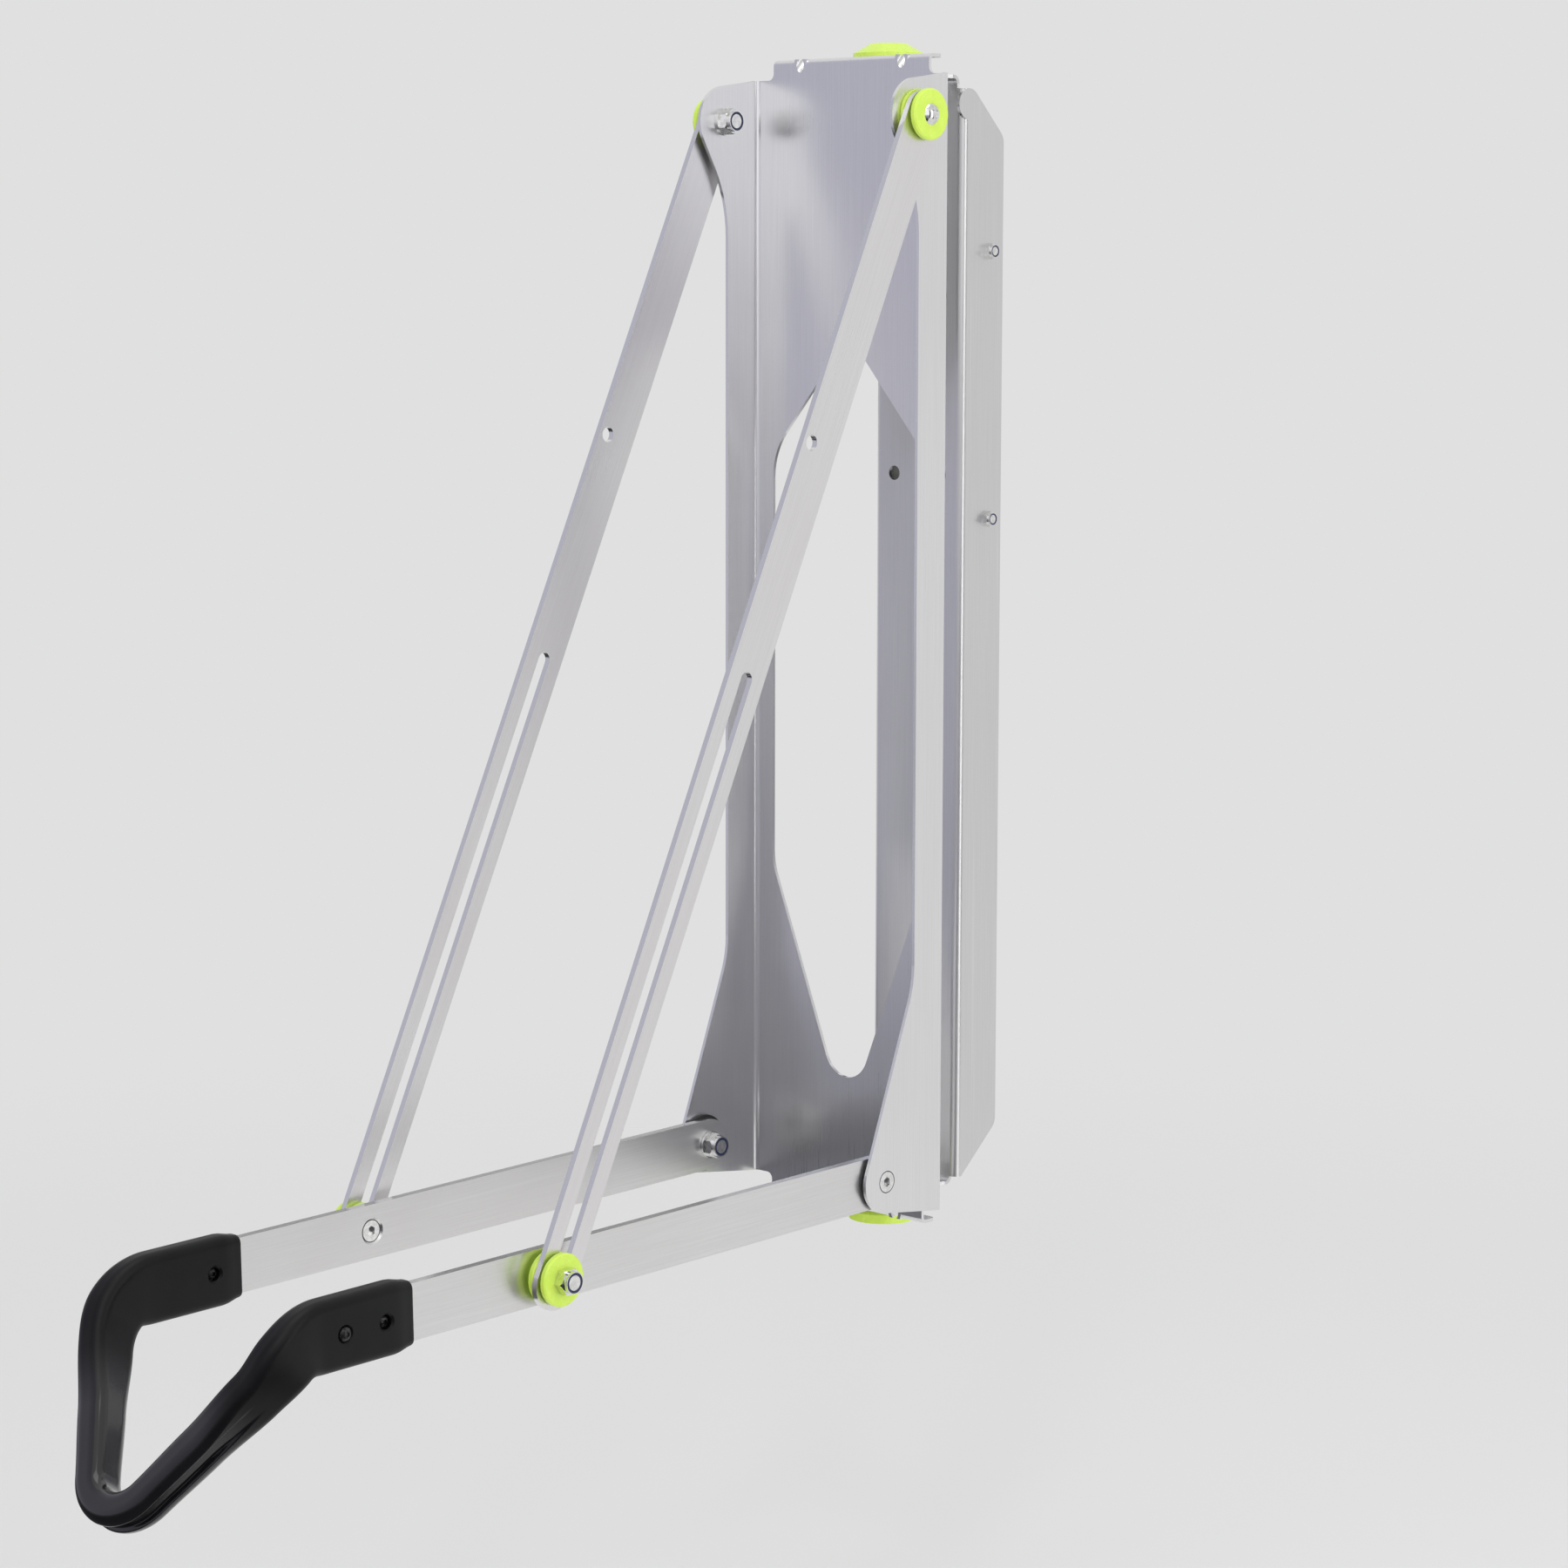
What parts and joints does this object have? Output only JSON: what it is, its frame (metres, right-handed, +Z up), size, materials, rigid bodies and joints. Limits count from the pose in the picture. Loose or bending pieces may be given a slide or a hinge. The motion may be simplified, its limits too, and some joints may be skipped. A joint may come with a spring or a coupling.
{
  "type": "folding wall bike rack",
  "caption": "Folding wall rack that holds a bicycle by its front wheel: steel channel on a swivel bracket, arms with a black loop, slotted struts and green discs.",
  "frame": {"origin": "middle of the wall plate's back face, which lies on the wall", "axes": "+Z up, -Y forward away from the wall, +X to the right of a person facing the wall"},
  "size_m": [0.1884, 0.6436, 0.7514],
  "materials": {
    "channel_steel": "satin stainless sheet with a fine upright grain",
    "bracket_steel": "satin stainless sheet",
    "plate_steel": "satin stainless sheet",
    "arm_steel": "satin stainless bar with a lengthwise grain",
    "strut_steel": "satin stainless bar with a lengthwise grain",
    "fastener_steel": "bright zinc and stainless fasteners",
    "nut_ring_plastic": "dark blue insert",
    "green_plastic": "light green turned plastic",
    "spacer_plastic": "black plastic washer",
    "loop_plastic": "black moulded plastic, satin",
    "black_screw": "black coated screw"
  },
  "bodies": {
    "wall_side": {"wall_plate": "plate_steel", "wall_bracket": "bracket_steel", "side_bolts": "fastener_steel", "side_nuts": "fastener_steel", "side_nut_rings": "nut_ring_plastic", "swivel_bolts": "fastener_steel", "swivel_nuts": "fastener_steel", "swivel_nut_rings": "nut_ring_plastic", "swivel_discs": "green_plastic", "swivel_caps": "green_plastic"},
    "channel": {"front_channel": "channel_steel", "strut_pivot_bolts": "fastener_steel", "strut_pivot_washers": "fastener_steel", "strut_pivot_nuts": "fastener_steel", "strut_pivot_nut_rings": "nut_ring_plastic", "strut_inner_discs": "green_plastic", "strut_outer_discs": "green_plastic", "arm_pivot_bolts": "fastener_steel", "arm_spacers": "spacer_plastic", "arm_pivot_washers": "fastener_steel", "arm_pivot_nuts": "fastener_steel", "arm_pivot_nut_rings": "nut_ring_plastic"},
    "arms": {"arm_left": "arm_steel", "arm_right": "arm_steel", "wheel_loop": "loop_plastic", "loop_screws": "black_screw", "slot_bolts": "fastener_steel", "slot_inner_discs": "green_plastic"},
    "strut_on_left": {"strut_left": "strut_steel"},
    "strut_on_right": {"strut_right": "strut_steel"},
    "pin_on_left": {"slide_pin_left": "fastener_steel", "slide_disc_left": "green_plastic", "slide_nut_left": "fastener_steel", "slide_nut_ring_left": "nut_ring_plastic"},
    "pin_on_right": {"slide_pin_right": "fastener_steel", "slide_disc_right": "green_plastic", "slide_nut_right": "fastener_steel", "slide_nut_ring_right": "nut_ring_plastic"}
  },
  "joints": [
    {"name": "swivel", "type": "hinge", "parent": "wall_side", "child": "channel", "pos_m": [0, -0.063, 0], "axis": [0, 0, 1], "range_deg": [-60, 60]},
    {"name": "arm_fold", "type": "hinge", "parent": "channel", "child": "arms", "pos_m": [0, -0.143, -0.448], "axis": [-1, 0, 0], "range_deg": [0, 91]},
    {"name": "strut_left_swing", "type": "hinge", "parent": "channel", "child": "strut_on_left", "pos_m": [-0.079, -0.123, 0.152], "axis": [1, 0, 0], "range_deg": [0, 21.41]},
    {"name": "strut_right_swing", "type": "hinge", "parent": "channel", "child": "strut_on_right", "pos_m": [0.079, -0.123, 0.152], "axis": [1, 0, 0], "range_deg": [0, 21.41]},
    {"name": "pin_left_slide", "type": "slide", "parent": "strut_on_left", "child": "pin_on_left", "axis": [0, 0.4231, 0.9061], "range_m": [0, 0.3312]},
    {"name": "pin_right_slide", "type": "slide", "parent": "strut_on_right", "child": "pin_on_right", "axis": [0, 0.4231, 0.9061], "range_m": [0, 0.3312]}
  ],
  "couplings": [
    {"joint": "strut_left_swing", "follows": "arm_fold", "ratio": 0.23515},
    {"joint": "strut_right_swing", "follows": "arm_fold", "ratio": 0.23515},
    {"joint": "pin_left_slide", "follows": "arm_fold", "m_per_rad": 0.20846},
    {"joint": "pin_right_slide", "follows": "arm_fold", "m_per_rad": 0.20846}
  ]
}
